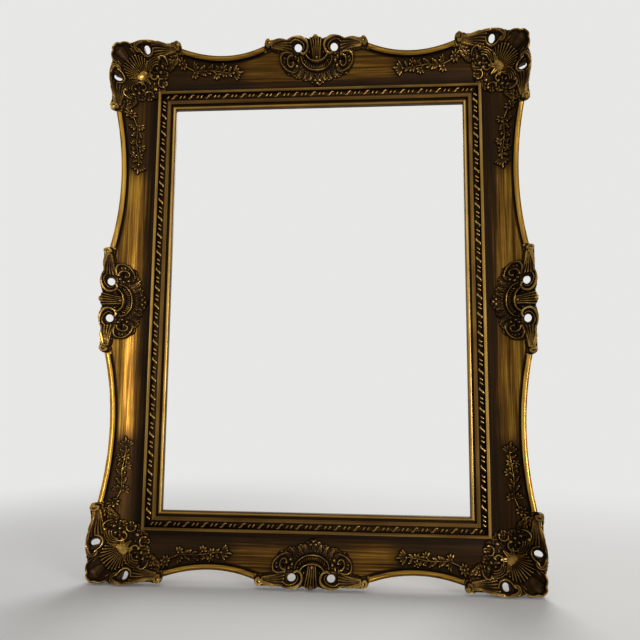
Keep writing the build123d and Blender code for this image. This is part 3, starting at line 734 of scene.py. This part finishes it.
for name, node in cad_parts.items():
    upright = name.endswith(("_left", "_right"))
    if name.startswith("rail_"):
        chosen = gilded_wood[upright]
    elif name.startswith("sight_moulding_"):
        chosen = gilded_moulding[upright]
    elif name.startswith(("hanger_", "turn_button_")) or name == "corner_v_nails":
        chosen = steel
    else:
        chosen = composition
    for holder in node.material_slots:
        holder.material = chosen


# Corner ornaments, symmetrical about the mitre: half of the outline as points with the bulge before each
CORNER_EDGE = (
    (CORNER_TIP, CORNER_TIP, 0),
    (CORNER_TIP - 10, CASTING_REACH - 1, 2),
    (CORNER_PIERCING[0] + 24, CASTING_REACH - 2, 2),
    (CORNER_PIERCING[0] - 17, CASTING_REACH - 2, 3.5),
    (4, CASTING_REACH - 6, 1.5),
    (-CORNER_ARM + 5, RAIL_REACH, 2),
    (-CORNER_ARM - 2, SWEEP_END_REACH - 1, 4),
    (-CORNER_ARM + 5, SWEEP_REACH + 1, 3),
    (0, SWEEP_REACH - 10, 3),
    (13, 58.5, 2),
    (18.5, 48.5, 2.5),
    (18.5, 38, 3),
    (COVE_START - 1, COVE_START - 1, 3),
)
CORNER_RIM = (
    (50, 79.5), (54, 80.5), (54.5, 84.5), (50, 87.5), (42, 89),
    (30, 88.6), (18, 86.5), (6, 84), (-6, 83),
)
# Place and radius of the loose beads
CORNER_BEADS = (
    ((19.8, 62.6), 2.4), ((24.4, 56.6), 2.2), ((14.4, 60.8), 1.5), ((29.2, 61), 1.8), ((27.5, 49), 1.6),
)


def corner_foliage(relief, edge):
    """Leaves, flutes, scrolls and beads on one half of a corner."""
    u, v = relief.u, relief.v
    boss_scroll = spiral((34.75, 54.25), 7.2, 5.4, 45, -150)
    inner_scroll = spiral((24.0, 43.0), 6.2, 5.6, 110, -105)
    arm_scroll = spiral((17.9, 67.0), 7.4, 6.4, 200, 45)
    collar = curve([(28, 81), (31.5, 75.5), (38, 73), (44.5, 75), (48, 79)])
    twig = curve([(29, 60.5), (18, 62.5), (4, 64.5)])
    drop = curve([(46, 46), (40, 40), (33, 33)])
    rim = curve(CORNER_RIM)

    # Small leaves over the ground, and larger ones under the scrolls
    ground = np.where((v > u - 1) & (np.minimum(u, v) < 58) & (np.hypot(u - 50, v - 50) > 9), edge, 0)
    relief.feathers(ground, centre=(62, 56))
    for path, side, count, length, width, rise, lean in (
        (boss_scroll, LEFT, 9, 5.6, 1.7, 4.4, -25),
        (boss_scroll, RIGHT, 6, 4.2, 1.3, 3.4, 30),
        (inner_scroll, LEFT, 7, 4.8, 1.5, 3.8, -20),
        (inner_scroll, RIGHT, 5, 4.0, 1.3, 3.2, 20),
        (arm_scroll, LEFT, 8, 5.0, 1.6, 4.2, 30),
        (arm_scroll, RIGHT, 5, 4.6, 1.5, 3.6, -10),
        (collar, RIGHT, 9, 5.0, 1.5, 4.4, 15),
        (twig, LEFT, 7, 4.2, 1.5, 4.0, 40),
        (twig, RIGHT, 7, 4.2, 1.5, 4.0, 40),
        (drop, LEFT, 4, 5.4, 1.7, 4.2, 35),
    ):
        relief.fringe(path, side, count, length, width, rise, lean)
    relief.spread((51, 73), (36, 50, 64, 78, 92), inner=5, length=11, width=1.9, rise=4.6)
    # Flutes that stream along the arm, and the fluted leaf beside the shell
    outer = [(29, 85), (18, 84), (6, 81.6), (-8, 80.6)]
    inner = [(27, 71), (17, 73.5), (6, 75.5), (-5, 77)]
    relief.flutes(outer, inner, count=5, width=1.9, rise=4.8, taper=0.5)
    outer = [(24, 73), (33, 71.5), (41.5, 67), (45, 60)]
    inner = [(26, 65.5), (31.5, 65), (36, 62.5), (38.5, 59)]
    relief.flutes(outer, inner, count=4, width=1.3, rise=4.8)
    # The rim that curls in beside the shell, the collar of the piercing, three scrolls and the arm's volute
    relief.band(rim, width=2.6, rise=6.2, gutter=0.2, taper=0.3)
    relief.bead(rim[0], radius=2.0, rise=5.6)
    relief.band(collar, width=2.2, rise=5.6, swell=0.4)
    for scroll, width, rise in ((boss_scroll, 2.2, 6.0), (inner_scroll, 2.0, 5.4), (arm_scroll, 2.0, 5.4)):
        relief.band(scroll, width, rise, swell=0.4)
        relief.bead(scroll[-1], width * 1.15, rise * 1.05)
    relief.volute((-9.2, 82.0), radius=5.0, start=160, end=-200, rise=5.8)
    for spot, radius in CORNER_BEADS:
        relief.bead(spot, radius, rise=5.2)


def corner_relief():
    relief = Relief((-20, -20), (96, 96), CASTING_GRID)
    u, v = relief.u, relief.v
    half = scalloped(CORNER_EDGE)
    edge = polygon_inside(np.vstack([half, half[-2:0:-1, ::-1]]), u, v)
    corner_foliage(relief, edge)
    relief.over(relief.rise.T)

    # Outer tip with three shallow lobes, the shell, the drop at the inner corner, and the shell's boss
    mitre = 45
    relief.fan((62, 62), mitre, spread=96, radius=31, ribs=3, rise=3.4, sharp=0.4, inner=10, dish=0.75)
    relief.shell((SHELL - 1, SHELL - 1), mitre, spread=168, radius=24.5, ribs=14, rise=6.4)
    relief.petal([(47, 47), (42, 42), (35, 35)], width=3.6, rise=4.6)
    relief.bead((35, 35), radius=3.0, rise=5.6)
    relief.spread((SHELL, SHELL), (128, 178, 225, 272, 322), inner=0, length=15, width=4.2, rise=7.2)
    along, across = (u + v - 2 * SHELL) / math.sqrt(2), (u - v) / math.sqrt(2)
    relief.over(6.9 * dome(np.clip(np.hypot(along / 7.0, across / (10.4 - 0.3 * along)), 0, 1)))
    # Gold on the shell's root and towards the arms' ends
    relief.gold = np.clip(1.9 - np.hypot((along - 2.0) / 8.5, across / 10.4), 0, 1)
    relief.gold += 0.4 * np.clip((20 - np.minimum(u, v)) / 20, 0, 1)
    for x, y in (CORNER_PIERCING, CORNER_PIERCING[::-1]):
        beyond = np.hypot(u - x, v - y) - PIERCING_RADIUS
        relief.sink(beyond, width=3.6)
        edge = np.minimum(edge, beyond)
    relief.finish(edge, tip=4.4 * np.clip((np.minimum(u, v) - 54) / 8, 0, 1))
    return relief


def rounded_reach(u, v):
    """Reach at a corner, the larger of u and v, with the mitre's crease rounded."""
    rounded = (u + v) / 2 + np.sqrt(((u - v) / 2) ** 2 + MITRE_ROUNDING**2)
    return np.minimum(rounded, np.maximum(u, v) + MITRE_ROUNDING)


vertices, faces, tone = carved_mesh(corner_relief(), rounded_reach, np.maximum)
for corner, (rail, _, origin) in CORNERS.items():
    place = (origin, *SIDES[rail][1:])
    make_piece(f"corner_ornament_{corner}", placed(vertices, place), faces, tone, composition)


# Centre ornaments, symmetrical about their middle: half of the outline as points with the bulge before each
CENTRE_EDGE = (
    (0, COVE_START + 4.5, 0),
    (6.5, COVE_START + 7.5, 1.5),
    (13, COVE_START + 11.5, 1.2),
    (25, 45.5, 2),
    (39, 49.5, 2.5),
    (51, 57, 3),
    (56, 66, 2),
    (54.5, 75, 1.5),
    (CENTRE_HALF - 8, SWEEP_END_REACH - 7, 1),
    (CENTRE_HALF + 2, SWEEP_END_REACH - 2, 3),
    (CENTRE_HALF - 10, RAIL_REACH - 2, 4),
    (CENTRE_PIERCING[0] + 16, CASTING_REACH - 5, 1.5),
    (9, CASTING_REACH - 4, 3.5),
    (0, CASTING_REACH - 1, 1.5),
)
CENTRE_RIM = (
    (66, 83), (56, 85), (44, 87), (32, 88.2), (22, 87.2),
    (14.6, 83.6), (12.4, 78.4), (15, 73.2), (20, 71.2), (24, 72.6),
)


def centre_foliage(relief, edge):
    """Leaves, flutes, scrolls and beads on one half of a centre ornament."""
    u, v = relief.u, relief.v
    rim = curve(CENTRE_RIM)
    inner_ring = curve([(38, 82), (33, 84.8), (26, 84.8), (20, 82), (18, 78), (20, 75)])
    lobe = curve([(36, 71), (46, 73), (53, 70.5), (54.5, 64), (50, 57.6), (42.5, 53.6), (35, 52)])
    lobe_scroll = spiral((39, 62.5), 7.2, 3.2, 110, -170)
    bowl_lip = curve([(-2, 63.1), (7, 64), (13, 66.8), (17.5, 71)])
    bowl_rim = curve([(-2, 53.9), (9, 55), (17, 58.6), (22, 63), (23.5, 68)])

    # Small leaves over the ground
    relief.feathers(np.where((u > -1) & ((v < 62) | (u > 20)), edge, 0), centre=(4, 70))
    # Foliage below and inside the bowl, round the lobe and its scroll, and beside the piercing
    whole, bowl = (0.06, 0.94), (0.1, 0.98)
    for path, side, count, length, width, rise, lean, span in (
        (bowl_rim, RIGHT, 9, 6.0, 1.8, 4.4, 20, bowl),
        (bowl_rim, LEFT, 8, 4.0, 1.3, 4.0, 0, bowl),
        (lobe_scroll, LEFT, 12, 6.5, 1.8, 4.6, -15, whole),
        (lobe, LEFT, 8, 3.6, 1.4, 3.8, 20, whole),
        (rim[20:], RIGHT, 9, 4.4, 1.3, 4.2, 25, whole),
    ):
        relief.fringe(path, side, count, length, width, rise, lean, span)
    # Leaves towards the inner tip
    for points in (
        [(27, 60), (33, 55), (39, 51)],
        [(21, 58), (26, 51.5), (30, 47.5)],
        [(14, 56), (17.5, 49.5), (20, 44.5)],
        [(7, 54), (9.5, 47.5), (11.5, 42)],
    ):
        relief.petal(points, width=3.0, rise=5.2, crease=0.28)
    # Gadroons between the bowl's rims, which curve up to its ends
    for x in np.linspace(0.6, 15, 7):
        low = 54 + 8 * (x * 1.2 / 22) ** 2
        high = 63.2 + 8 * (x / 17.5) ** 2
        points = [(x * 0.98, high - 1), (x * 1.1, (high + low) / 2), (x * 1.2, low + 1)]
        relief.petal(points, width=1.4, rise=4.4, crease=0.0)
    # Flutes along the edge to the volute, and upright ones in the middle
    outer = [(38, 85.5), (48, 84.5), (58, 83), (69, 81)]
    inner = [(37, 72.5), (48, 75.5), (58, 77), (67, 78)]
    relief.flutes(outer, inner, count=5, width=1.9, rise=4.8, taper=0.45)
    for x in (0.0, 3.3, 6.6):
        relief.band(curve([(x * 0.7, 65.5), (x * 0.9, 76), (x * 1.25, 87)]), width=1.7, rise=5.4)
    # The rim over the piercing and its inner ring, the volute, the lobe and its scroll, and the bowl's rims
    relief.band(rim, width=2.2, rise=6.3, gutter=0.2, taper=0.35)
    relief.bead(rim[-1], radius=1.9, rise=5.8)
    relief.band(inner_ring, width=1.0, rise=5.0)
    relief.volute((71.5, 81.5), radius=4.8, start=190, end=-170, rise=6.0)
    relief.band(lobe, width=2.0, rise=5.4, swell=0.4)
    relief.band(lobe_scroll, width=1.9, rise=6.0, taper=0.2)
    relief.bead(lobe_scroll[-1], radius=1.8, rise=6.0)
    relief.band(bowl_lip, width=1.9, rise=6.6, taper=0.3)
    relief.band(bowl_rim, width=1.9, rise=6.2, taper=0.4)
    for spot, radius in (((32, 68), 1.9), ((30.5, 59), 2.0), ((28, 64), 1.9), ((3.6, 41.5), 2.1)):
        relief.bead(spot, radius, rise=5.4)


def centre_relief():
    relief = Relief((-82, 28), (82, 96), CASTING_GRID)
    u, v = relief.u, relief.v
    half = scalloped(CENTRE_EDGE)
    edge = polygon_inside(np.vstack([half, half[-2:0:-1] * (-1, 1)]), u, v)
    centre_foliage(relief, edge)
    relief.over(relief.rise[::-1])

    # Fan in the bowl, the leaf to the inner tip, and the beads on the middle line
    relief.fan((0, 62.5), 90, spread=150, radius=9, ribs=7, rise=5.2, sharp=1.0, inner=2, dish=0.2)
    relief.petal([(0, 53), (0, 47), (0, 40)], width=3.2, rise=4.8, crease=0.3)
    for y, radius, rise in ((66.5, 2.2, 6.4), (87.6, 3.5, 6.6), (37.6, 2.1, 5.2)):
        relief.bead((0, y), radius, rise)
    x, y = CENTRE_PIERCING
    for sign in (-1, 1):
        ring = np.hypot((u - sign * x) / OVAL_HALF_LENGTH, (v - y) / OVAL_HALF_HEIGHT)
        beyond = (ring - 1) * OVAL_HALF_HEIGHT
        relief.sink(beyond, width=2.8)
        edge = np.minimum(edge, beyond)
    # Gold towards the arms' ends
    relief.gold = 0.35 * np.clip((np.abs(u) - 38) / 20, 0, 1)
    relief.finish(edge, tip=0.0)
    return relief


def rail_reach(u, v):
    return v


vertices, faces, tone = carved_mesh(centre_relief(), rail_reach, rail_reach)
for side, place in SIDES.items():
    make_piece(f"centre_ornament_{side}", placed(vertices, place), faces, tone, composition)


# Flower sprays in the hollow beside every corner
SPRAY_STEM = (
    (-14, 64.5), (-18, 62.3), (-24, 60.2), (-31, 58), (-42, 57.8),
    (-54, 58.2), (-71, 56.4), (-86, 54.4), (-96, 54),
)
# Root, angle and length of the single leaves along the stem
SPRAY_LEAVES = (
    ((-36, 58), 150, 8.0), ((-42, 58), 128, 7.0), ((-49, 58.2), 148, 8.0), ((-55, 58.2), 126, 6.5),
    ((-61, 57.6), 150, 8.0), ((-68, 57), 130, 7.0), ((-82, 55), 128, 7.0), ((-36, 57.6), -146, 8.0),
    ((-42, 57.6), -126, 6.5), ((-47, 57.8), -150, 8.0), ((-69, 56.4), -142, 7.5),
    ((-75, 55.8), -124, 6.5), ((-80, 55), -146, 7.5),
)
# Place and radius of the berries
SPRAY_BERRIES = (
    ((-45.5, 62.5), 1.7), ((-53.5, 54.4), 1.7), ((-58.5, 63), 1.7),
    ((-65, 62), 1.6), ((-73.5, 50.4), 1.6), ((-87, 60.4), 1.6),
)


def spray_relief():
    relief = Relief((-114, 38), (-4, 76), SPRAY_GRID, grows=True)
    relief.band(curve(SPRAY_STEM), width=1.3, rise=2.8, taper=0.25)
    # Star flower by the casting, two lilies on stalks, and the palmette at the far end
    star, palmette, blossom = (-12.8, 65.4), (-90, 54), (-76.5, 60.8)
    relief.spread(star, range(-150, 190, 48), inner=0.8, length=5.8, width=2.0, rise=4.6)
    relief.bead(star, radius=1.4, rise=4.6)
    for root, cup, facing in (((-25, 59.8), (-28.5, 55.5), -118), ((-57, 58), (-62.5, 53.6), -115)):
        bend = ((root[0] + cup[0]) / 2 - 0.8, (root[1] + cup[1]) / 2 + 0.4)
        relief.band(curve([root, bend, cup]), width=1.0, rise=2.8)
        petals = [facing + turn for turn in (-62, -22, 20, 60)]
        relief.spread(cup, petals, inner=0.3, length=6.8, width=2.1, rise=4.4)
        relief.bead(cup, radius=1.5, rise=4.2)
    relief.spread(palmette, (128, 150, 172, 194, 216, 238), inner=0.5, length=9.8, width=2.4, rise=4.4)
    relief.petal([(-92, 54), (-98, 54.6), (-105, 55.6)], width=2.0, rise=4.4)
    relief.bead(palmette, radius=1.8, rise=4.6)
    # The leaf of three near the casting, single leaves, a small blossom and berries
    relief.spread((-29, 59.5), (108, 134, 160), inner=1.0, length=7.2, width=2.1, rise=4.2)
    for root, angle, length in SPRAY_LEAVES:
        relief.spread(root, (angle,), 0.5, length, width=2.3, rise=4.0)
    relief.spread(blossom, range(0, 360, 72), inner=0.6, length=3.8, width=1.6, rise=4.2)
    relief.bead(blossom, radius=1.3, rise=4.4)
    for spot, radius in SPRAY_BERRIES:
        relief.bead(spot, radius, rise=3.8)
    relief.rise *= 0.3 + 0.7 * dome(1 - np.clip(relief.inside / 0.9, 0, 1))
    return relief


vertices, faces, tone = carved_mesh(spray_relief(), rail_reach, rail_reach)
mirrored = vertices[:, [1, 0, 2]]
for rail, next_rail, origin in CORNERS.values():
    place = (origin, *SIDES[rail][1:])
    make_piece(f"{rail}_spray_{next_rail}", placed(vertices, place), faces, tone, composition)
    make_piece(f"{next_rail}_spray_{rail}", placed(mirrored, place), faces[:, ::-1], tone, composition)


# Rope ornament: a long ribbon and two short beads in every repeat, each with length, width, slant and bend
ROPE_PITCH = 27.0
ROPE_BASE = 1.1
ROPE_SINK = 0.2
RIBBON = dict(length=14.0, width=4.6, slant=22.0, bend=1.5)
ROPE_BEAD = dict(length=7.4, width=3.7, slant=48.0, bend=0.2)
RIBBON_PLACE = -6.75
BEAD_PLACES = (3.75, 9.75)
BEAD_PITCH = 5.0
BASE_TONE = -0.5


def bead_mesh(length, width, slant, bend, rise, rows=14, columns=9):
    """A closed bead with pointed ends that lies aslant; bend gives it the line of an S."""
    ends = np.sin(np.linspace(-np.pi / 2, np.pi / 2, rows))
    s, q = np.meshgrid(ends, np.linspace(-1, 1, columns), indexing="ij")
    half = width / 2 * np.sqrt(np.clip(1 - s * s, 0.004, None)) ** 0.9
    x = s * length / 2
    y = q * half + bend * np.sin(np.pi * s)
    z = rise * dome(q) * np.clip(1 - s**4, 0.05, None) ** 0.5
    cos, sin = heading(slant)
    top = np.stack([x * cos - y * sin, x * sin + y * cos, z], 2).reshape(-1, 3)
    low = top * (1, 1, 0) - (0, 0, 0.6)
    count = len(top)
    grid = np.arange(count).reshape(rows, columns)
    cells = np.stack([grid[:-1, :-1], grid[1:, :-1], grid[1:, 1:], grid[:-1, 1:]], 2).reshape(-1, 4)
    ring = np.concatenate([grid[:, 0], grid[-1, 1:], grid[-2::-1, -1], grid[0, -2:0:-1]])
    after = np.roll(ring, -1)
    walls = np.stack([after, ring, ring + count, after + count], 1)
    # Bead tops are lighter, rubbed gilding with a painted highlight, and their feet darker with painted
    # shade
    tone = np.clip(1.5 * top[:, 2] / rise - 0.75, -1, 1)
    faces = np.concatenate([cells, cells[:, ::-1] + count, walls])
    return np.concatenate([top, low]), faces, np.concatenate([tone, np.full(count, -0.9)])


def rope(half):
    """Vertices, faces and tone of one rope: a base with mitred ends, and the beads that lie on it."""
    middle = (ROPE_INNER + ROPE_OUTER) / 2
    level = ROPE_FLOOR + GLUE_GAP
    rise = ROPE_TOP - ROPE_FLOOR - ROPE_BASE
    ribbon = bead_mesh(**RIBBON, rise=rise)
    bead = bead_mesh(**ROPE_BEAD, rise=rise * 0.92)
    repeats = int(2 * (half + ROPE_INNER) // ROPE_PITCH)
    spots = []
    for index in range(repeats):
        start = (index - (repeats - 1) / 2) * ROPE_PITCH
        spots.append((start + RIBBON_PLACE, ribbon))
        spots += [(start + place, bead) for place in BEAD_PLACES]
    # Single beads fill what is left between the last repeat and the mitre
    for place in np.arange(repeats * ROPE_PITCH / 2 + 2.6, half + middle - 3.0, BEAD_PITCH):
        spots += [(-place, bead), (place, bead)]

    reaches = (ROPE_INNER, ROPE_OUTER)
    base = np.array([(sign * (half + reach), reach, 0) for reach in reaches for sign in (-1, 1)])
    vertices = [base + (0, 0, level), base + (0, 0, level + ROPE_BASE)]
    faces = [(1, 0, 2, 3), (4, 5, 7, 6), (0, 1, 5, 4), (1, 3, 7, 5), (3, 2, 6, 7), (2, 0, 4, 6)]
    total = 2 * len(base)
    tones = [np.full(total, BASE_TONE)]
    for place, (points, cells, tone) in spots:
        vertices.append(points + (place, middle, level + ROPE_BASE - ROPE_SINK))
        faces.extend((cells + total).tolist())
        tones.append(tone)
        total += len(points)
    return np.concatenate(vertices), faces, np.concatenate(tones)


for side, place in SIDES.items():
    upright = side in ("left", "right")
    vertices, faces, tone = rope(SIGHT_HALF_HEIGHT if upright else SIGHT_HALF_WIDTH)
    make_piece(f"rope_{side}", placed(vertices, place), faces, tone, gilded_rope[upright])


# Camera as solved from the photograph
PHOTO_SIDE = 640
FOCAL_PIXELS = 605.06
CAMERA_PLACE = (0.07084, -0.90053, -0.46058)
CAMERA_AHEAD = (-0.07170, 0.99078, 0.11492)
CAMERA_UP = (0.00012, -0.11521, 0.99334)

camera = bpy.data.cameras.new("camera")
camera.sensor_width = 36.0
camera.lens = FOCAL_PIXELS / PHOTO_SIDE * camera.sensor_width
camera_object = new_object("camera", camera)
ahead = Vector(CAMERA_AHEAD).normalized()
right = ahead.cross(Vector(CAMERA_UP)).normalized()
view = Matrix((right, right.cross(ahead), -ahead)).transposed().to_4x4()
view.translation = Vector(CAMERA_PLACE)
camera_object.matrix_world = view
bpy.context.scene.camera = camera_object


# Lights, all turned to the middle of the frame
def area_light(name, place, energy, size, colour):
    light = bpy.data.lights.new(name, "AREA")
    light.energy = energy
    light.size = size
    light.color = colour
    lamp = new_object(name, light)
    lamp.location = place
    middle = Vector((0, 0, CENTRE_Z * MM))
    lamp.rotation_euler = (middle - Vector(place)).to_track_quat("-Z", "Y").to_euler()


area_light("key", (1.42, -1.55, -0.52), energy=42, size=0.8, colour=(1.0, 0.97, 0.92))
area_light("fill", (-0.9, -1.9, 0.2), energy=3, size=1.2, colour=(1, 1, 1))
area_light("back", (0.4, 1.6, 0.9), energy=24, size=1.4, colour=(1, 1, 1))

# Pale surroundings: the camera, reflections and clear parts see them plainly, other rays get a softer light
PALE = (0.80, 0.80, 0.79, 1)
SOFT_LIGHT = (1.0, 0.99, 0.97, 1)
SOFT_STRENGTH = 0.35
world = bpy.data.worlds.new("studio")
bpy.context.scene.world = world
world.use_nodes = True
tree = Nodes(world.node_tree)
soft = tree.fill(tree.nodes["Background"], Color=SOFT_LIGHT, Strength=SOFT_STRENGTH)
pale = tree.add("ShaderNodeBackground", Color=PALE)
path = tree.add("ShaderNodeLightPath").outputs
seen = tree.math("MAXIMUM", path["Is Camera Ray"], path["Is Glossy Ray"])
seen = tree.math("MAXIMUM", seen, path["Is Transmission Ray"])
tree.blend("World Output", seen, soft, pale)

# Pale floor that fades into the surroundings between two distances from the middle
FLOOR_HALF = 6.0
FLOOR_DROP = 0.0005
FLOOR_FADE = (0.5, 1.15)
FLOOR_COLOUR = (0.78, 0.78, 0.77, 1)
FLOOR_ROUGHNESS = 0.7
floor_level = cad_box[0][2] - FLOOR_DROP
floor_mesh = bpy.data.meshes.new("floor")
signs = ((-1, -1), (1, -1), (1, 1), (-1, 1))
floor_corners = [(FLOOR_HALF * x, FLOOR_HALF * y, floor_level) for x, y in signs]
floor_mesh.from_pydata(floor_corners, [], [(0, 1, 2, 3)])
floor = new_object("floor", floor_mesh)
floor_material, tree, shader = new_material("pale_floor")
tree.fill(shader, Base_Color=FLOOR_COLOUR, Roughness=FLOOR_ROUGHNESS)
x, y, _ = tree.parts(tree.place())
square = tree.math("MULTIPLY_ADD", x, x, tree.math("MULTIPLY", y, y))
fade = tree.level(tree.math("SQRT", square), *FLOOR_FADE)
tree.blend("Material Output", fade, shader, tree.add("ShaderNodeEmission", Color=PALE))
floor_mesh.materials.append(floor_material)

bpy.context.scene.view_settings.view_transform = "Standard"
